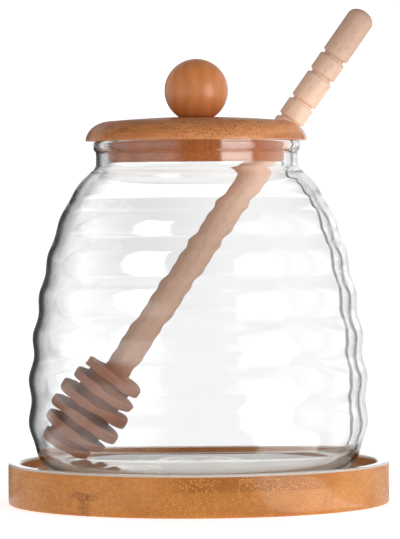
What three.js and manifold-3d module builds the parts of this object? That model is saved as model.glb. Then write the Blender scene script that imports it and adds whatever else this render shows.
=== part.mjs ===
// A rippled glass honey jar with a bamboo lid and ball knob, a turned wooden honey dipper that stands
// in it through a slot in the lid, and the round bamboo tray that the jar stands in.
// Millimetres, +Z up. The origin is the centre of the tray's underside. The dipper leans towards +X.

import * as THREE from 'three';
import { mergeVertices } from 'three/addons/utils/BufferGeometryUtils.js';
import Module from 'manifold-3d';

// Clearances between pieces that touch
const REST_GAP = 0.05;
const LEAN_GAP = 0.3;

// Tray: a thick plate with a thinner ring glued on top of its edge
const TRAY_RADIUS = 60;
const TRAY_PLATE = 9.5;
const TRAY_RING = 3.5;
const TRAY_RING_WIDTH = 4;
const TRAY_EASE = 0.6;

// Jar: blown glass, a little thicker in its floor. Heights are above its own foot.
const WALL = 1.8;
const FLOOR = 2.3;
const NECK_WALL = 1.5;
const FOOT_RADIUS = 42.3;
const FOOT_RING = 4.5;
const PUSH_UP = 2.2;
const HEEL = 9;
const HEEL_END_ANGLE = -18;
const HEEL_TAPER = 0.0071;
const WIDEST_RADIUS = 53.2;
const WIDEST_HEIGHT = 21.6;
const SHOULDER_RISE = 79;
const SHOULDER_ROUND = 1.555;
const SHOULDER_FULL = 4.7;
const SHOULDER_TOP = 94.7;
const NECK_RADIUS = 31.8;
const NECK_HEIGHT = 96.9;
const NECK_FLARE = 0.35;
const NECK_FLARE_DROP = 0.9;
const BORE_DROP = 0.4;
const LIP_HEIGHT = 100.7;
const LIP_RADIUS = 32.5;
const LIP_ROUND = 0.9;
const RIM_HEIGHT = 104.3;

// Ripples of the jar's wall: their depth fades and their pitch tightens towards the shoulder
const RIPPLE_DEPTH = 0.55;
const RIPPLE_PITCH = 14.85;
const RIPPLE_CREST = 15.5;
const RIPPLE_FADE_END = 115.5;
const RIPPLE_FADE_RUN = 80;
const RIPPLE_TIGHTEN = 1.5e-4;

// Lid: a domed disc with a plug below it and a slot for the dipper, open at the edge
const LID_RADIUS = 35;
const LID_EDGE_RUN = 8;
const LID_EDGE_RISE = 6.3;
const LID_CROWN = 1.2;
const LID_CROWN_HALFWAY = 0.75;
const PLUG_RADIUS = 27.8;
const PLUG_DEPTH = 6.7;
const PLUG_EASE = 0.5;
const SLOT_WIDTH = 9.8;
const SLOT_INNER_END = 14.2;
const SLOT_OVERRUN = 1;

// Knob: a ball with a flat on its underside
const KNOB_RADIUS = 10;
const KNOB_FLAT_RADIUS = 5.6;

// Dipper: lengths run along it from the end of its head
const DIPPER_LENGTH = 167.8;
const DIPPER_TILT = THREE.MathUtils.degToRad(35.15);
const DIPPER_TURN = THREE.MathUtils.degToRad(-5);
const SHAFT_RADIUS_TOP = 4.35;
const SHAFT_RADIUS_HEAD = 4.0;
const TIP_DOME = 3.3;
const GROOVES_FROM_TIP = [41.5, 34.7, 24.5, 17.4];
const GROOVE_WIDTH = 1.2;
const GROOVE_DEPTH = 0.9;
const GROOVE_SLANT = 0.25;
const DISC_RADII = [8.5, 10.7, 12.1, 12.1, 10.6, 9.8];
const DISC_THICKNESS = 2.9;
const DISC_PITCH = 5.33;
const DISC_EASE = 0.45;
const HEAD_CORE_RADIUS = 7.4;

// Facets round each turned piece, and along its curved stretches
const TRAY_SIDES = 52;
const JAR_SIDES = 44;
const LID_SIDES = 44;
const KNOB_SIDES = 28;
const DIPPER_SIDES = 20;
const BASE_STEPS = 4;
const HEEL_OUTER_STEPS = 4;
const HEEL_INNER_STEPS = 3;
const WALL_OUTER_STEPS = 27;
const WALL_INNER_STEPS = 22;
const LIP_OUTER_STEPS = 2;
const LIP_INNER_STEPS = 3;
const LID_EDGE_STEPS = 6;
const SLOT_END_STEPS = 10;
const KNOB_STEPS = 12;
const TIP_STEPS = 4;

// Steps used in the making, too small to see
const SLOPE_STEP = 0.1;
const MERGE_DISTANCE = 1e-4;

// Heights that follow from the sizes above
const jarFoot = TRAY_PLATE + REST_GAP;
const jarRim = jarFoot + RIM_HEIGHT;
const lidUnderside = jarRim + REST_GAP;
const lidTop = lidUnderside + LID_EDGE_RISE + LID_CROWN;

const wasm = await Module();
wasm.setup();

const point = (radius, height) => new THREE.Vector2(radius, height);

/** Points on a circular arc of a profile, from one angle to another in degrees, ends included. */
function arc(centreRadius, centreHeight, radius, from, to, steps) {
  const points = [];
  for (let i = 0; i <= steps; i += 1) {
    const angle = THREE.MathUtils.degToRad(from + ((to - from) * i) / steps);
    points.push(point(centreRadius + radius * Math.cos(angle), centreHeight + radius * Math.sin(angle)));
  }
  return points;
}

/** A solid turned about Z from a profile of (radius, height) points that starts and ends on the axis. */
function turned(profile, sides) {
  const geometry = new THREE.LatheGeometry(profile, sides);
  geometry.rotateX(Math.PI / 2);
  return geometry;
}

/** The geometry as a manifold solid, with shared vertices merged and the slivers at the poles dropped. */
function solidOf(geometry) {
  const bare = geometry.clone();
  bare.deleteAttribute('normal');
  bare.deleteAttribute('uv');
  const merged = mergeVertices(bare, MERGE_DISTANCE);
  const triangles = [];
  for (let i = 0; i < merged.index.count; i += 3) {
    const [a, b, c] = [0, 1, 2].map((k) => merged.index.getX(i + k));
    if (a !== b && b !== c && c !== a) triangles.push(a, b, c);
  }
  const vertProperties = new Float32Array(merged.attributes.position.array);
  const triVerts = new Uint32Array(triangles);
  return new wasm.Manifold(new wasm.Mesh({ numProp: 3, vertProperties, triVerts }));
}

/** A manifold solid as a geometry. */
function geometryOf(solid) {
  const mesh = solid.getMesh();
  const geometry = new THREE.BufferGeometry();
  geometry.setAttribute('position', new THREE.BufferAttribute(mesh.vertProperties, 3));
  geometry.setIndex(new THREE.BufferAttribute(mesh.triVerts, 1));
  geometry.computeVertexNormals();
  return geometry;
}

function trayGeometry() {
  const top = TRAY_PLATE + TRAY_RING;
  const inner = TRAY_RADIUS - TRAY_RING_WIDTH;
  return turned(
    [
      point(0, 0),
      point(TRAY_RADIUS - TRAY_EASE, 0),
      point(TRAY_RADIUS, TRAY_EASE),
      point(TRAY_RADIUS, top - TRAY_EASE),
      point(TRAY_RADIUS - TRAY_EASE, top),
      point(inner + TRAY_EASE, top),
      point(inner, top - TRAY_EASE),
      point(inner, TRAY_PLATE),
      point(0, TRAY_PLATE),
    ],
    TRAY_SIDES,
  );
}

/** Outer radius of the jar's body at a height: a dome that swells and narrows, with ripples on it. */
function bodyRadius(height) {
  const above = Math.max(height - WIDEST_HEIGHT, 0) / SHOULDER_RISE;
  const below = Math.max(WIDEST_HEIGHT - height, 0);
  const dome = WIDEST_RADIUS * (1 - above ** SHOULDER_ROUND) ** (1 / SHOULDER_FULL);
  const run = height - RIPPLE_CREST;
  const waves = run / RIPPLE_PITCH + RIPPLE_TIGHTEN * run * run;
  const fade = Math.min((RIPPLE_FADE_END - height) / RIPPLE_FADE_RUN, 1);
  return dome - HEEL_TAPER * below * below + RIPPLE_DEPTH * fade * Math.cos(2 * Math.PI * waves);
}

/** Points of the body's wall from heel to shoulder, set in from the outside along the wall's normal. */
function bodyWall(inset, steps) {
  const points = [];
  for (let i = 0; i <= steps; i += 1) {
    const height = HEEL + ((SHOULDER_TOP - HEEL) * i) / steps;
    const rise = bodyRadius(height + SLOPE_STEP) - bodyRadius(height - SLOPE_STEP);
    const slope = rise / (2 * SLOPE_STEP);
    const unit = Math.hypot(1, slope);
    points.push(point(bodyRadius(height) - inset / unit, height + (inset * slope) / unit));
  }
  return points;
}

/** Points of the base, from the axis to the flat foot ring, with the middle pushed up. */
function baseCurve(lift) {
  const points = [];
  for (let i = 0; i <= BASE_STEPS; i += 1) {
    const share = i / BASE_STEPS;
    const height = (PUSH_UP * (1 + Math.cos(Math.PI * share))) / 2;
    points.push(point((FOOT_RADIUS - FOOT_RING) * share, height + lift));
  }
  return points;
}

function jarGeometry() {
  const bore = NECK_RADIUS - NECK_WALL;
  const heelRadius = HEEL - WALL;
  const profile = [
    ...baseCurve(0),
    ...arc(FOOT_RADIUS, HEEL, HEEL, -90, HEEL_END_ANGLE, HEEL_OUTER_STEPS),
    ...bodyWall(0, WALL_OUTER_STEPS),
    point(NECK_RADIUS + NECK_FLARE, NECK_HEIGHT - NECK_FLARE_DROP),
    point(NECK_RADIUS, NECK_HEIGHT),
    point(NECK_RADIUS, LIP_HEIGHT),
    point(LIP_RADIUS, LIP_HEIGHT + LIP_ROUND),
    ...arc(LIP_RADIUS - LIP_ROUND, RIM_HEIGHT - LIP_ROUND, LIP_ROUND, 0, 90, LIP_OUTER_STEPS),
    ...arc(bore + LIP_ROUND, RIM_HEIGHT - LIP_ROUND, LIP_ROUND, 90, 180, LIP_INNER_STEPS),
    point(bore, NECK_HEIGHT - BORE_DROP),
    ...bodyWall(WALL, WALL_INNER_STEPS).reverse(),
    ...arc(FOOT_RADIUS, FLOOR + heelRadius, heelRadius, HEEL_END_ANGLE, -90, HEEL_INNER_STEPS),
    ...baseCurve(FLOOR).reverse(),
  ];
  return turned(profile, JAR_SIDES);
}

/** Profile of the lid from its plug's underside over the rounded edge to the top of the crown. */
function lidProfile() {
  const edgeCentre = LID_RADIUS - LID_EDGE_RUN;
  const edge = [];
  for (let i = 0; i <= LID_EDGE_STEPS; i += 1) {
    const angle = (Math.PI / 2) * (i / LID_EDGE_STEPS);
    edge.push(point(edgeCentre + LID_EDGE_RUN * Math.cos(angle), LID_EDGE_RISE * Math.sin(angle)));
  }
  return [
    point(0, -PLUG_DEPTH),
    point(PLUG_RADIUS - PLUG_EASE, -PLUG_DEPTH),
    point(PLUG_RADIUS, PLUG_EASE - PLUG_DEPTH),
    point(PLUG_RADIUS, 0),
    ...edge,
    point(edgeCentre / 2, LID_EDGE_RISE + LID_CROWN_HALFWAY * LID_CROWN),
    point(0, LID_EDGE_RISE + LID_CROWN),
  ];
}

/** The slot's cutter: a U-shaped bar that runs out past the lid's edge, as tall as lid and plug. */
function slotCutter() {
  const half = SLOT_WIDTH / 2;
  const centre = SLOT_INNER_END + half;
  const outline = new THREE.Shape();
  outline.moveTo(LID_RADIUS + half, half);
  outline.lineTo(centre, half);
  outline.absarc(centre, 0, half, Math.PI / 2, (3 * Math.PI) / 2, false);
  outline.lineTo(LID_RADIUS + half, -half);
  outline.closePath();
  const depth = PLUG_DEPTH + LID_EDGE_RISE + LID_CROWN + 2 * SLOT_OVERRUN;
  const options = { depth, bevelEnabled: false, curveSegments: SLOT_END_STEPS };
  const cutter = new THREE.ExtrudeGeometry(outline, options);
  cutter.translate(0, 0, -PLUG_DEPTH - SLOT_OVERRUN);
  cutter.rotateZ(DIPPER_TURN);
  return cutter;
}

function lidGeometry() {
  const disc = solidOf(turned(lidProfile(), LID_SIDES));
  return geometryOf(disc.subtract(solidOf(slotCutter())));
}

function knobGeometry() {
  const flatAngle = -THREE.MathUtils.radToDeg(Math.acos(KNOB_FLAT_RADIUS / KNOB_RADIUS));
  const ball = arc(0, 0, KNOB_RADIUS, flatAngle, 90, KNOB_STEPS);
  const flatHeight = ball[0].y;
  ball[ball.length - 1].x = 0;
  const profile = [point(0, flatHeight), ...ball];
  profile.forEach((p) => {
    p.y -= flatHeight;
  });
  return turned(profile, KNOB_SIDES);
}

/** Radius of the dipper's shaft at a distance from the end of the head. */
function shaftRadius(along) {
  const headTop = DISC_PITCH * (DISC_RADII.length - 1) + DISC_THICKNESS;
  const share = Math.min((along - headTop) / (DIPPER_LENGTH - TIP_DOME - headTop), 1);
  return SHAFT_RADIUS_HEAD + (SHAFT_RADIUS_TOP - SHAFT_RADIUS_HEAD) * share;
}

/** The dipper's head: discs of different sizes on one core, with eased edges. */
function headProfile() {
  const points = [point(0, 0)];
  DISC_RADII.forEach((radius, i) => {
    const low = i * DISC_PITCH;
    const high = low + DISC_THICKNESS;
    if (i > 0) points.push(point(HEAD_CORE_RADIUS, low));
    points.push(point(radius - DISC_EASE, low));
    points.push(point(radius, low + DISC_EASE));
    points.push(point(radius, high - DISC_EASE));
    points.push(point(radius - DISC_EASE, high));
    const last = i === DISC_RADII.length - 1;
    points.push(point(last ? shaftRadius(high) : HEAD_CORE_RADIUS, high));
  });
  return points;
}

/** The dipper's handle: grooves cut round the shaft, and a domed tip. */
function handleProfile() {
  const points = [];
  GROOVES_FROM_TIP.forEach((fromTip) => {
    const centre = DIPPER_LENGTH - fromTip;
    const radius = shaftRadius(centre);
    const low = centre - GROOVE_WIDTH / 2;
    const high = centre + GROOVE_WIDTH / 2;
    points.push(point(radius, low));
    points.push(point(radius - GROOVE_DEPTH, low + GROOVE_SLANT));
    points.push(point(radius - GROOVE_DEPTH, high - GROOVE_SLANT));
    points.push(point(radius, high));
  });
  const domeBase = DIPPER_LENGTH - TIP_DOME;
  for (let i = 0; i < TIP_STEPS; i += 1) {
    const angle = (Math.PI / 2) * (i / TIP_STEPS);
    points.push(point(SHAFT_RADIUS_TOP * Math.cos(angle), domeBase + TIP_DOME * Math.sin(angle)));
  }
  points.push(point(0, DIPPER_LENGTH));
  return points;
}

function dipperGeometry() {
  return turned([...headProfile(), ...handleProfile()], DIPPER_SIDES);
}

/** Leans an upright dipper: the end of its head on the jar's floor, its shaft on the jar's lip. */
function leanDipper(mesh) {
  const endHeight = jarFoot + FLOOR + LEAN_GAP + (DISC_RADII[0] - DISC_EASE) * Math.sin(DIPPER_TILT);
  const lipHeight = jarRim - LIP_ROUND * (1 - Math.sin(DIPPER_TILT));
  const lipContact = NECK_RADIUS - NECK_WALL + LIP_ROUND * (1 - Math.cos(DIPPER_TILT));
  const alongToLip = (lipHeight - endHeight) / Math.cos(DIPPER_TILT);
  const axisAtLip = lipContact - (shaftRadius(alongToLip) + LEAN_GAP) / Math.cos(DIPPER_TILT);
  mesh.position.set(axisAtLip - alongToLip * Math.sin(DIPPER_TILT), 0, endHeight);
  mesh.rotation.y = DIPPER_TILT;
}

const bamboo = { roughness: 0.5, metalness: 0 };
const tray = new THREE.Mesh(
  trayGeometry(),
  new THREE.MeshStandardMaterial({ color: 0xc98850, ...bamboo }),
);
tray.name = 'tray';

const jar = new THREE.Mesh(
  jarGeometry(),
  new THREE.MeshStandardMaterial({
    color: 0xf2f5f5,
    roughness: 0.03,
    metalness: 0,
    transparent: true,
    opacity: 0.3,
  }),
);
jar.name = 'jar';
jar.position.z = jarFoot;

const lid = new THREE.Mesh(
  lidGeometry(),
  new THREE.MeshStandardMaterial({ color: 0xb77a4c, ...bamboo }),
);
lid.name = 'lid';
lid.position.z = lidUnderside;

const knob = new THREE.Mesh(
  knobGeometry(),
  new THREE.MeshStandardMaterial({ color: 0xca8257, roughness: 0.4, metalness: 0 }),
);
knob.name = 'knob';
knob.position.z = lidTop + REST_GAP;

const dipper = new THREE.Mesh(
  dipperGeometry(),
  new THREE.MeshStandardMaterial({ color: 0xd2ab90, roughness: 0.6, metalness: 0 }),
);
dipper.name = 'dipper';
leanDipper(dipper);

const dipperLean = new THREE.Group();
dipperLean.rotation.z = DIPPER_TURN;
dipperLean.add(dipper);

const group = new THREE.Group();
group.add(tray, jar, lid, knob, dipperLean);

export default group;
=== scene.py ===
"""Looks of the honey pot: fine turned shapes in place of the frame's facets, their finishes, and a
studio of white table, white panels, dark card and soft boxes, as clear glass is photographed."""

import logging
import math
from dataclasses import asdict, dataclass, field
from enum import Enum
from typing import Any, ClassVar

import bmesh
import bpy
from mathutils import Matrix, Vector

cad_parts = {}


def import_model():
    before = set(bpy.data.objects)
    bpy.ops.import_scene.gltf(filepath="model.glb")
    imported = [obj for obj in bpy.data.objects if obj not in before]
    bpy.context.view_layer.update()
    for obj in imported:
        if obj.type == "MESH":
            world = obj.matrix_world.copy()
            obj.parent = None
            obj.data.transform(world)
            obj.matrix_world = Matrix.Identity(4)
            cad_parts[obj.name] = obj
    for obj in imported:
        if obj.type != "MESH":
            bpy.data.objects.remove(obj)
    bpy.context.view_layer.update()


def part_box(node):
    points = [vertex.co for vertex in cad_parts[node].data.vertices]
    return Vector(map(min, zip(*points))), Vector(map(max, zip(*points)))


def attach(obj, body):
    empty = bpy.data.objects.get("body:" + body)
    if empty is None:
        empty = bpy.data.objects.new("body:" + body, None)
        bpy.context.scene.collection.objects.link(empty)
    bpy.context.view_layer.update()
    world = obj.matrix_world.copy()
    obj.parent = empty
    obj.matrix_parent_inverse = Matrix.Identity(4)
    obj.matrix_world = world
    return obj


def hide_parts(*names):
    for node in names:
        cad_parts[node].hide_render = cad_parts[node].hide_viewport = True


MM = 0.001
TURN = 2 * math.pi
DEGREES = 180.0 / math.pi
BODY = "root"
GRAIN = "grain"
RIPPLED = "rippled"
WHITE = (1.0, 1.0, 1.0)
BLACK = (0.0, 0.0, 0.0)
log = logging.getLogger("honey_pot")

Colour = tuple[float, float, float]
Pair = tuple[float, float]


class Piece(Enum):
    """The pieces of the pot, by the names of their nodes in the frame."""

    TRAY = "tray"
    JAR = "jar"
    LID = "lid"
    KNOB = "knob"
    DIPPER = "dipper"


class Edge(Enum):
    """The angle in degrees past which the edge between two faces stays sharp."""

    SOFT = 180.0
    CRISP = 38.0


# Nodes written as arithmetic


@dataclass(frozen=True)
class Value:
    """A number that runs through a node tree, on which Python's arithmetic adds Math nodes."""

    bench: "Bench"
    socket: bpy.types.NodeSocket

    def __add__(self, other: Any) -> "Value":
        """Sum."""
        return self.bench.maths("ADD", self, other)

    def __sub__(self, other: Any) -> "Value":
        """Difference."""
        return self.bench.maths("SUBTRACT", self, other)

    def __rsub__(self, other: Any) -> "Value":
        """Difference, from the right."""
        return self.bench.maths("SUBTRACT", other, self)

    def __mul__(self, other: Any) -> "Value":
        """Product."""
        return self.bench.maths("MULTIPLY", self, other)

    def __truediv__(self, other: Any) -> "Value":
        """Quotient."""
        return self.bench.maths("DIVIDE", self, other)

    def __rtruediv__(self, other: Any) -> "Value":
        """Quotient, from the right."""
        return self.bench.maths("DIVIDE", other, self)

    def __pow__(self, other: Any) -> "Value":
        """Power."""
        return self.bench.maths("POWER", self, other)

    def __neg__(self) -> "Value":
        """The value with its sign turned."""
        return self * -1.0

    __radd__ = __add__
    __rmul__ = __mul__

    def root(self) -> "Value":
        """Square root."""
        return self.bench.maths("SQRT", self)

    def absolute(self) -> "Value":
        """The value without its sign."""
        return self.bench.maths("ABSOLUTE", self)

    def floor(self) -> "Value":
        """The whole number below."""
        return self.bench.maths("FLOOR", self)

    def fraction(self) -> "Value":
        """What is left above the whole number below."""
        return self.bench.maths("FRACT", self)

    def least(self, other: Any) -> "Value":
        """The smaller of two values."""
        return self.bench.maths("MINIMUM", self, other)

    def most(self, other: Any) -> "Value":
        """The larger of two values."""
        return self.bench.maths("MAXIMUM", self, other)

    def cosine(self) -> "Value":
        """Cosine of an angle in radians."""
        return self.bench.maths("COSINE", self)

    def sine(self) -> "Value":
        """Sine of an angle in radians."""
        return self.bench.maths("SINE", self)

    def level(self) -> "Value":
        """The angle in degrees of a rise from -1 to 1."""
        return self.bench.maths("ARCSINE", self) * DEGREES

    def bearing(self, ahead: "Value") -> "Value":
        """The angle from straight ahead, in degrees, of a point this far aside and so far ahead."""
        return self.bench.maths("ARCTAN2", self, ahead) * DEGREES

    def rise(self, low: float, high: float) -> "Value":
        """A smooth step from 0 at low to 1 at high."""
        sockets = {"Value": self, "From Min": low, "From Max": high}
        return self.bench.number("ShaderNodeMapRange", {"interpolation_type": "SMOOTHSTEP"}, sockets)

    def band(self, start: Pair, end: Pair) -> "Value":
        """A smooth step from 0 to 1 over start, and back to 0 over end."""
        return self.rise(*start) * (1.0 - self.rise(*end))

    def between(self, low: Any, high: Any) -> "Value":
        """What this share picks between two numbers: low at 0 and high at 1."""
        return low + self * (high - low)


@dataclass(frozen=True)
class Noise:
    """Soft noise: its waves in a metre, its finer layers, and what share of that it has along wood."""

    scale: float
    detail: float
    along: float = 1.0


@dataclass
class Bench:
    """A node tree under construction."""

    tree: bpy.types.NodeTree

    def node(
        self, kind: str, settings: dict | None = None, sockets: dict | None = None
    ) -> bpy.types.Node:
        """Adds a node, sets its options first and then feeds its sockets.

        Args:
            kind: The node's type.
            settings: The node's own options.
            sockets: Values or links, by the input's name, identifier or place.

        Returns:
            The new node.
        """
        made = self.tree.nodes.new(kind)
        for option, setting in (settings or {}).items():
            setattr(made, option, setting)
        for key, value in (sockets or {}).items():
            self.feed(self.find(made.inputs, key), value)
        return made

    def find(self, sockets: Any, key: str | int) -> bpy.types.NodeSocket:
        """The socket of that identifier, name or place."""
        exact = [socket for socket in sockets if socket.identifier == key]
        return exact[0] if exact else sockets[key]

    def feed(self, socket: bpy.types.NodeSocket, value: Any) -> None:
        """Links or sets an input.

        Args:
            socket: The input socket.
            value: A Value, a socket, or a constant.
        """
        source = value.socket if isinstance(value, Value) else value
        if isinstance(source, bpy.types.NodeSocket):
            self.tree.links.new(source, socket)
        elif socket.type == "RGBA" and len(source) == 3:
            socket.default_value = (*source, 1.0)
        else:
            socket.default_value = source

    def number(self, kind: str, settings: dict, sockets: dict, output: str | int = 0) -> Value:
        """One output of a new node, as a Value."""
        made = self.node(kind, settings, sockets)
        return Value(self, self.find(made.outputs, output))

    def maths(self, operation: str, *values: Any) -> Value:
        """The result of a Math node of one to three values or numbers."""
        return self.number("ShaderNodeMath", {"operation": operation}, dict(enumerate(values)))

    def parts(self, vector: bpy.types.NodeSocket) -> tuple[Value, Value, Value]:
        """A vector's X, Y and Z."""
        made = self.node("ShaderNodeSeparateXYZ", {}, {0: vector})
        return tuple(Value(self, output) for output in made.outputs)

    def vector(self, x: Any, y: Any, z: Any) -> bpy.types.NodeSocket:
        """A vector of three numbers or Values."""
        return self.node("ShaderNodeCombineXYZ", {}, {0: x, 1: y, 2: z}).outputs[0]

    def noise(self, vector: bpy.types.NodeSocket, kind: Noise) -> Value:
        """Noise from 0 to 1, read at a place."""
        sockets = {"Vector": vector, "Scale": kind.scale, "Detail": kind.detail}
        return self.number("ShaderNodeTexNoise", {}, sockets)

    def blend(self, share: Any, first: Any, second: Any, way: str = "MIX") -> bpy.types.NodeSocket:
        """Mixes two colours.

        Args:
            share: How much of the second colour, from 0 to 1.
            first: The first colour or its socket.
            second: The second colour or its socket.
            way: The blend type.

        Returns:
            The socket that gives the mixed colour.
        """
        settings = {"data_type": "RGBA", "blend_type": way}
        sockets = {"Factor_Float": share, "A_Color": first, "B_Color": second}
        return self.find(self.node("ShaderNodeMix", settings, sockets).outputs, "Result_Color")


class Recipe(Bench):
    """A material whose nodes start from a single shader."""

    def __init__(self, name: str) -> None:
        """Makes the material and its shader.

        Args:
            name: The material's name.
        """
        self.material = bpy.data.materials.new(name)
        self.material.use_nodes = True
        super().__init__(self.material.node_tree)
        self.tree.nodes.clear()
        self.shader = self.node("ShaderNodeBsdfPrincipled")
        self.output = self.node("ShaderNodeOutputMaterial", {}, {"Surface": self.shader.outputs[0]})

    def place(self) -> bpy.types.NodeSocket:
        """Where a point lies in the frame, in metres."""
        return self.node("ShaderNodeTexCoord").outputs["Object"]

    def grown(self) -> bpy.types.NodeSocket:
        """Where a point lay before its piece was leaned, from the attribute that turning leaves."""
        return self.node("ShaderNodeAttribute", {"attribute_name": GRAIN}).outputs["Vector"]

    def facing(self) -> bpy.types.NodeSocket:
        """The way that a point of the surface faces."""
        return self.node("ShaderNodeNewGeometry").outputs["Normal"]

    def dots(self, vector: bpy.types.NodeSocket, scale: float, randomness: float) -> Value:
        """How far a place is from the middle of the next of many scattered dots."""
        sockets = {"Vector": vector, "Scale": scale, "Randomness": randomness}
        return self.number("ShaderNodeTexVoronoi", {"feature": "F1"}, sockets, "Distance")

    def surface(self, **sockets: Any) -> None:
        """Feeds the shader's sockets, by names in which a low line stands for a space."""
        for key, value in sockets.items():
            self.feed(self.shader.inputs[key.replace("_", " ")], value)

    def relief(self, height: Value, depth: float, strength: float) -> None:
        """Feeds the shader's normal with a relief of that depth, as strong as is said."""
        sockets = {"Strength": strength, "Distance": depth, "Height": height}
        self.feed(self.shader.inputs["Normal"], self.node("ShaderNodeBump", {}, sockets).outputs[0])


# Finishes


@dataclass(frozen=True)
class Bamboo:
    """Boards glued from bamboo strips under clear lacquer: fibres, strips, joints and node marks.

    The bundles of fibres are long threads, so a face cut across them shows dots, and one cut along
    them shows streaks. Two boards lie on each other, and meet at the height of the layer.
    """

    name: str
    pale: Colour
    deep: Colour
    thread: Colour
    end_grain: Colour
    fibre_turn: float
    layer: float
    thread_pitch: float
    thread_strength: float
    level_lacquer: float
    layer_turn: float = 10.0
    layer_blur: float = 0.06 * MM
    upper_seed: float = 0.37
    # the lower board's own tone, together with painted shade where it lies under an overhang
    lower_tint: Colour = WHITE
    strip_width: float = 19 * MM
    strip_variety: float = 0.24
    joint: Pair = (0.488, 0.497)
    joint_depth: float = 0.12
    cloud: Noise = Noise(75.0, 3.0, 0.3)
    cloud_strength: float = 1.2
    streak: Noise = Noise(700.0, 3.0, 0.06)
    streak_up: float = 1.3
    streak_strength: float = 0.9
    # tone change per metre along X; on the lid it is painted shade on the left side and painted light
    # on the right
    drift: float = 0.0
    thread_width: Pair = (0.16, 0.52)
    thread_along: float = 0.05
    thread_up: float = 0.9
    thread_scatter: float = 0.85
    strip_shift: float = 3.0
    crowd: Noise = Noise(120.0, 2.0, 0.15)
    crowded: Pair = (0.28, 0.5)
    cut_across: Pair = (0.86, 0.98)
    end_low: float = 0.3
    end_high: float = 0.85
    node_at: Pair = (0.0, 0.0)
    node_strength: float = 0.0
    node_wander: float = 4.0 * MM
    node_bar: Pair = (0.3 * MM, 1.6 * MM)
    node_wide: Pair = (1.6 * MM, 6.5 * MM)
    node_stem: Pair = (0.9 * MM, 2.6 * MM)
    node_below: Pair = (-1.2 * MM, 0.4 * MM)
    node_stem_strength: float = 0.6
    node_unbroken: float = 0.35
    node_breaks: Pair = (0.34, 0.62)
    rim_radius: float = 0.0
    rim_height: float = 0.0
    rim_inside: Pair = (0.7 * MM, 0.2 * MM)
    rim_top: Pair = (1.0 * MM, 0.2 * MM)
    rim_tilt: Pair = (0.1, 0.6)
    # painted highlight: a pale colour laid on the rim's upward-facing top
    rim_wear: Colour = WHITE
    floor_tilt: Pair = (0.5, 0.9)
    # painted light: a pale colour laid on the level floor inside the rim, under the jar's glass base
    floor_tone: Colour = (0.86, 0.68, 0.5)
    level_tilt: Pair = (0.6, 0.95)
    inside_level: float = 0.4
    lacquer: float = 0.45
    lacquer_rough: float = 0.07
    gloss: float = 0.25
    rough: float = 0.42
    thread_rough: float = 0.1
    pale_smooth: float = 0.06
    thread_depth: float = 0.06 * MM
    index: float = 1.45

    def material(self) -> bpy.types.Material:
        """The finish as a material.

        Returns:
            The material, which reads Object coordinates.
        """
        recipe = Recipe(self.name)
        height = recipe.parts(recipe.place())[2]
        upper = height.rise(self.layer - self.layer_blur, self.layer + self.layer_blur)
        lower_board = self._board(recipe, self.fibre_turn, 0.0)
        upper_board = self._board(recipe, self.fibre_turn + self.layer_turn, self.upper_seed)
        tone, threads, end = (upper.between(*pair) for pair in zip(lower_board, upper_board))
        knot = self._node_mark(recipe) * (1.0 - upper) * self.node_strength
        ground = recipe.blend(tone, self.deep, self.pale)
        sawn = end * upper.between(self.end_low, self.end_high)
        cut = recipe.blend(sawn, ground, recipe.blend(threads, self.end_grain, self.pale))
        dark = (threads * (1.0 - end) * self.thread_strength + knot).least(1.0)
        wood = recipe.blend(dark, cut, self.thread)
        # the lower board is multiplied darker: its own tone and painted shade
        wood = recipe.blend(1.0 - upper, wood, self.lower_tint, "MULTIPLY")
        wood, level = self._worn(recipe, wood)
        recipe.surface(
            Base_Color=wood,
            Roughness=self.rough + threads * self.thread_rough - tone * self.pale_smooth,
            Coat_Weight=level.between(self.lacquer, self.level_lacquer),
            Coat_Roughness=self.lacquer_rough,
            Specular_IOR_Level=self.gloss,
            IOR=self.index,
        )
        recipe.relief(1.0 - dark, self.thread_depth, strength=0.6)
        return recipe.material

    def _board(self, recipe: Recipe, turn: float, seed: float) -> tuple[Value, Value, Value]:
        """One board of strips.

        Args:
            recipe: The material in the making.
            turn: The way the fibres run, in degrees from +X.
            seed: Sets the board's strips apart from another's.

        Returns:
            The board's tone, from 0 for deep to 1 for pale, its threads, from 0 to 1, and where a
            face is cut across the fibres, from 0 to 1.
        """
        sockets = {"Vector": recipe.place(), "Rotation": (0.0, 0.0, -math.radians(turn))}
        turned = recipe.node("ShaderNodeMapping", {"vector_type": "POINT"}, sockets).outputs[0]
        along, across, up = recipe.parts(turned)
        strips = across / self.strip_width + seed
        one = {"noise_dimensions": "1D"}
        own = recipe.number("ShaderNodeTexWhiteNoise", one, {"W": strips.floor()})
        cloud = recipe.noise(recipe.vector(along * self.cloud.along, across, up + seed), self.cloud)
        streaked = recipe.vector(along * self.streak.along, across, up * self.streak_up + seed)
        streak = recipe.noise(streaked, self.streak)
        joint = (strips.fraction() - 0.5).absolute().rise(*self.joint)
        tone = 0.5 + (own - 0.5) * self.strip_variety + (cloud - 0.5) * self.cloud_strength
        tone = tone + (streak - 0.5) * self.streak_strength - joint * self.joint_depth
        # painted light and shade: the tone grows along X, so the right side is lighter
        tone = tone + recipe.parts(recipe.place())[0] * self.drift
        threaded = along * self.thread_along + own * self.strip_shift
        threaded = recipe.vector(threaded, across, up * self.thread_up + seed)
        cells = recipe.dots(threaded, 1.0 / self.thread_pitch, self.thread_scatter)
        crowd = recipe.noise(recipe.vector(along * self.crowd.along, across + seed, up), self.crowd)
        threads = (1.0 - cells.rise(*self.thread_width)) * crowd.rise(*self.crowded)
        way = (math.cos(math.radians(turn)), math.sin(math.radians(turn)), 0.0)
        dot = {"operation": "DOT_PRODUCT"}
        across_way = recipe.number("ShaderNodeVectorMath", dot, {0: recipe.facing(), 1: way}, "Value")
        return tone.most(0.0).least(1.0), threads, across_way.absolute().rise(*self.cut_across)

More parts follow.
